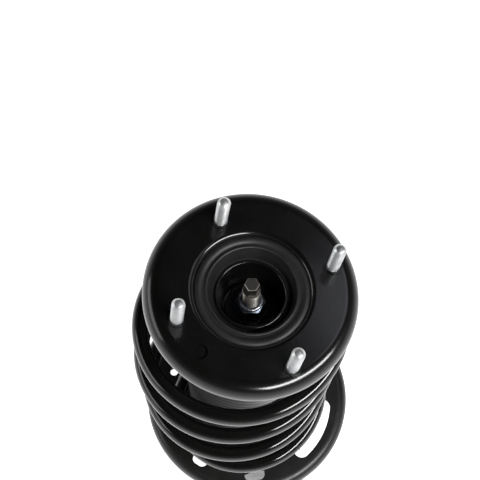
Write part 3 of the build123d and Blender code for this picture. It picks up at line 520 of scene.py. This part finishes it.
def build_boot():
    outer = boot_profile()
    inner = [(radius - BOOT_WALL, height) for radius, height in reversed(outer)]
    inner[-1] = (38.0 * MM, boot_high.z - 0.4 * MM)
    boot = lathe("dust_boot_bellows", outer + inner, ROD_FRAME, BOOT_SIDES, None, "boot_rubber", 60)
    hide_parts("dust_boot")
    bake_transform(boot)


build_boot()

# ---------------------------------------------------------------- threaded shafts
THREAD_PITCH = 1.5 * MM
THREAD_DEPTH = 0.62 * MM
ROWS_PER_PITCH = 8
SHAFT_SIDES = 60


def shaft(rows, matrix):
    """Closed shaft from rows of (height, radius); a radius may be a function of the angle."""
    rings = []
    for height, radius in rows:
        ring = []
        for k in range(SHAFT_SIDES):
            angle = tau * k / SHAFT_SIDES
            r = radius(angle) if callable(radius) else radius
            ring.append(matrix @ Vector((r * cos(angle), r * sin(angle), height)))
        rings.append(ring)
    return swept_rings(rings)


def thread_rows(bottom, top, radius, point):
    """Rows of a screw thread, fading in at the bottom and cut back to a point at the top."""
    rows = []
    count = round((top - bottom) / THREAD_PITCH * ROWS_PER_PITCH)
    for row in range(count + 1):
        height = bottom + (top - bottom) * row / count
        limit = radius - max(0, point - (top - height))
        fade = min(1, (height - bottom) / THREAD_PITCH)

        def depth(angle, height=height, limit=limit, fade=fade):
            phase = (height / THREAD_PITCH - angle / tau) % 1
            flank = min(1, max(0, abs(2 * phase - 1) * 1.35 - 0.2))
            return min(limit, radius - THREAD_DEPTH * fade * flank)

        rows.append((height, depth))
    return rows


def joined(shapes):
    """Put several closed meshes into one list of points and faces."""
    points, faces = [], []
    for shape_points, shape_faces in shapes:
        start = len(points)
        points += shape_points
        faces += [tuple(start + k for k in face) for face in shape_faces]
    return points, faces


STUD_HEIGHT = 34.0 * MM
STUD_POINT = 2.0 * MM
STUD_RELIEF_R = 4.4 * MM
STUD_RELIEF_H = 1.2 * MM
STUD_SHANK_R = 5.6 * MM
STUD_HEAD_R = 7.0 * MM
STUD_HEAD_H = 3.0 * MM
PLATE_SHEET = 3.0 * MM
EDGE = 0.4 * MM


def build_studs():
    """Four pressed-in studs: flat head, shank in the sheet, rolled thread and a blunt point."""
    head_z = -PLATE_SHEET - STUD_HEAD_H
    foot = [
        (head_z, STUD_HEAD_R - EDGE),
        (head_z + EDGE, STUD_HEAD_R),
        (-PLATE_SHEET - EDGE, STUD_HEAD_R),
        (-PLATE_SHEET, STUD_HEAD_R - EDGE),
        (-PLATE_SHEET, STUD_SHANK_R),
        (-EDGE, STUD_SHANK_R),
        (0, STUD_RELIEF_R),
    ]
    rows = foot + thread_rows(STUD_RELIEF_H, STUD_HEIGHT, STUD_R, STUD_POINT)
    shapes = []
    for angle in STUD_ANGLES:
        turn = radians(angle)
        place = Matrix.Translation((STUD_CIRCLE_R * cos(turn), STUD_CIRCLE_R * sin(turn), 0))
        shapes.append(shaft(rows, STUD_FRAME @ place @ Matrix.Rotation(turn * 7, 4, "Z")))
    points, faces = joined(shapes)
    studs = add_piece("mount_studs_threaded", points, faces, "top_mount", "zinc_plate", 50)
    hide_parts("mount_studs")


build_studs()

ROD_R = 10.0 * MM
SPIGOT_R = 6.0 * MM
SPIGOT_LENGTH = 40.0 * MM
THREAD_R = 7.0 * MM
SHOULDER_Z = -50.0 * MM
THREAD_TOP_Z = -0.7 * MM
THREAD_POINT = 0.4 * MM
HEX_FLATS = 10.0 * MM
HEX_EDGE = 0.5 * MM


def hexagon(inset):
    """Radius of a hexagon bar at each angle, its flats facing +Y and -Y."""
    return lambda angle: (HEX_FLATS / 2 - inset) / cos((angle % (pi / 3)) - pi / 6)


def build_rod():
    """Piston rod with its rolled thread and the hexagon that holds it while the nut is turned."""
    rod_low, rod_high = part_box("piston_rod")
    rows = [
        (rod_low.z, SPIGOT_R - 1.0 * MM),
        (rod_low.z + 1.0 * MM, SPIGOT_R),
        (rod_low.z + SPIGOT_LENGTH, SPIGOT_R),
        (rod_low.z + SPIGOT_LENGTH, ROD_R),
        (SHOULDER_Z - EDGE, ROD_R),
        (SHOULDER_Z, ROD_R - EDGE),
        (SHOULDER_Z, THREAD_R - THREAD_DEPTH),
    ]
    rows += thread_rows(SHOULDER_Z + THREAD_PITCH / 2, THREAD_TOP_Z, THREAD_R, THREAD_POINT)
    rows += [
        (THREAD_TOP_Z, hexagon(0)),
        (rod_high.z - HEX_EDGE, hexagon(0)),
        (rod_high.z, hexagon(HEX_EDGE)),
    ]
    points, faces = shaft(rows, ROD_FRAME)
    rod = add_piece("piston_rod_threaded", points, faces, "top_mount", "chrome_rod", 28)
    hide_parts("piston_rod")


build_rod()

# ---------------------------------------------------------------- weld beads
TUBE_R = 26.0 * MM
BEAD_R = 1.9 * MM
BEAD_SIDES = 12


def weld_bead(name, line, loop, body="damper_tube"):
    """Rippled bead along a line of points."""
    rings = []
    last = len(line) - 1
    for index, centre in enumerate(line):
        before = line[index - 1] if loop or index else centre
        after = line[(index + 1) % len(line)] if loop or index < last else centre
        along = (after - before).normalized()
        side = along.orthogonal().normalized()
        up = along.cross(side)
        ripple = 1 + 0.09 * sin(index * 1.3) + 0.05 * sin(index * 0.37)
        ends = 1 if loop else sqrt(min(1, 0.15 + min(index, last - index) / 6))
        radius = BEAD_R * ripple * ends
        rings.append(
            [
                centre + (side * cos(tau * k / BEAD_SIDES) + up * sin(tau * k / BEAD_SIDES)) * radius
                for k in range(BEAD_SIDES)
            ]
        )
    points, faces = swept_rings(rings, loop=loop)
    return add_piece(name, points, faces, body, "satin_black_paint", 60)


def arc_line(radius, height, start, end, step):
    """Points along an arc about the rod, angles in degrees."""
    count = max(2, round(radius * radians(end - start) / step))
    turns = [radians(start + (end - start) * k / count) for k in range(count + 1)]
    return [Vector((ROD.x + radius * cos(a), ROD.y + radius * sin(a), height)) for a in turns]


WELD_STEP = 1.0 * MM
seat_top_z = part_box("lower_spring_seat")[1].z
bracket_top_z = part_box("knuckle_bracket")[1].z
neck_line = arc_line(TUBE_R + BEAD_R * 0.3, seat_top_z, 0, 360, WELD_STEP)
weld_bead("weld_seat_neck", neck_line[:-1], True)
bracket_line = arc_line(TUBE_R + BEAD_R * 0.3, bracket_top_z, 75, 285, WELD_STEP)
weld_bead("weld_bracket_top", bracket_line, False)

# ---------------------------------------------------------------- stage, light and world
scene.view_settings.view_transform = "Standard"
lowest = cad_box[0].z

floor_material = Nodes("studio_floor")
floor_material.set(
    Base_Color=grey(0.82), Roughness=0.9, Emission_Color=grey(1.0), Emission_Strength=1.0
)
floor_mesh = bpy.data.meshes.new("studio_floor")
floor_mesh.from_pydata([(-6, -6, lowest), (6, -6, lowest), (6, 6, lowest), (-6, 6, lowest)], [], [(0, 1, 2, 3)])
floor_mesh.materials.append(floor_material.material)
floor_piece = bpy.data.objects.new("studio_floor", floor_mesh)
scene.collection.objects.link(floor_piece)


def softbox(name, azimuth, elevation, distance, width, height, power, tint=(1, 1, 1)):
    """Rectangular light aimed at the mount plate; azimuth 0 is +X, 90 is +Y."""
    data = bpy.data.lights.new(name, "AREA")
    data.shape = "RECTANGLE"
    data.size = width
    data.size_y = height
    data.energy = power
    data.color = tint
    light = bpy.data.objects.new(name, data)
    scene.collection.objects.link(light)
    a, e = radians(azimuth), radians(elevation)
    away = Vector((cos(a) * cos(e), sin(a) * cos(e), sin(e)))
    light.location = away * distance
    light.rotation_mode = "QUATERNION"
    light.rotation_quaternion = away.to_track_quat("Z", "Y")
    return light


softbox("front_right_strip", -45, 42, 1.6, 1.3, 0.35, 34)
softbox("left_fill", 175, 22, 2.2, 1.6, 0.8, 9)
softbox("back_right_sheen", 32, 62, 2.0, 0.6, 0.6, 1.5, (0.88, 0.9, 1.0))

world = bpy.data.worlds.new("studio")
scene.world = world
world.use_nodes = True
tree = world.node_tree
direction = tree.nodes.new("ShaderNodeTexCoord")
split = tree.nodes.new("ShaderNodeSeparateXYZ")
ramp = tree.nodes.new("ShaderNodeValToRGB")
tree.links.new(direction.outputs["Generated"], split.inputs[0])
tree.links.new(split.outputs["Z"], ramp.inputs["Fac"])
ramp.color_ramp.elements[0].position = 0.0
ramp.color_ramp.elements[0].color = (0.9, 0.9, 0.9, 1)
ramp.color_ramp.elements[1].position = 0.75
ramp.color_ramp.elements[1].color = (0.006, 0.006, 0.006, 1)
middle = ramp.color_ramp.elements.new(0.3)
middle.color = (0.16, 0.16, 0.16, 1)
camera_ray = tree.nodes.new("ShaderNodeLightPath").outputs["Is Camera Ray"]
seen = tree.nodes.new("ShaderNodeMix")
seen.data_type = "RGBA"
seen.inputs[7].default_value = (1, 1, 1, 1)
tree.links.new(camera_ray, seen.inputs["Factor"])
tree.links.new(ramp.outputs["Color"], seen.inputs[6])
tree.links.new(seen.outputs[2], tree.nodes["Background"].inputs["Color"])
